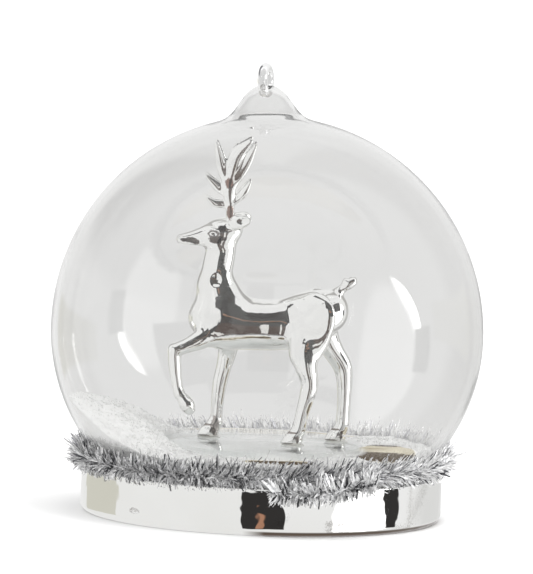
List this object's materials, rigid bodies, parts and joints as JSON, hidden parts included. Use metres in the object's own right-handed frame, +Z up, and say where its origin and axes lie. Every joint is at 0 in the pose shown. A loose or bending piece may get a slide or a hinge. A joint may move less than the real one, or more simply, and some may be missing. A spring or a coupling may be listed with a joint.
{
  "type": "snow globe",
  "caption": "Dry snow globe ornament: clear glass ball with hanging loop on a mirror-silvered base, tinsel round the joint, chromed reindeer and white snow inside.",
  "frame": {"origin": "centre of the underside of the silvered base", "axes": "+Z up through the globe, -X the way the reindeer faces, -Y the front, where the garland's free end lies"},
  "size_m": [0.1, 0.1, 0.1048],
  "materials": {
    "clear_glass": "thin clear blown glass, fire polished",
    "base_glass": "clear blown glass over a mirror coat",
    "silver_mirror": "silvered mirror coat",
    "white_plastic": "moulded, silvered on its upper face",
    "clear_glue": "clear cured glue",
    "clear_acrylic": "polished clear acrylic",
    "plated_plastic": "vacuum-metallised mirror silver on plastic",
    "artificial_snow": "loose white fluffy fibre snow",
    "tinsel_wire": "thin twisted galvanised wire",
    "tinsel_foil": "cut silver foil film"
  },
  "bodies": {
    "root": {"glass_globe": "clear_glass", "hanging_loop": "clear_glass", "glass_base": "base_glass", "silver_lining": "silver_mirror", "floor_plug": "white_plastic", "globe_glue_bead": "clear_glue", "stand_disc": "clear_acrylic", "hoof_glue": "clear_glue", "reindeer_body": "plated_plastic", "antler_left": "plated_plastic", "antler_right": "plated_plastic", "snow_drift": "artificial_snow", "snow_bed": "artificial_snow", "tinsel_core": "tinsel_wire", "tinsel_pile": "tinsel_foil", "tinsel_end_core": "tinsel_wire", "tinsel_end": "tinsel_foil"}
  },
  "joints": []
}
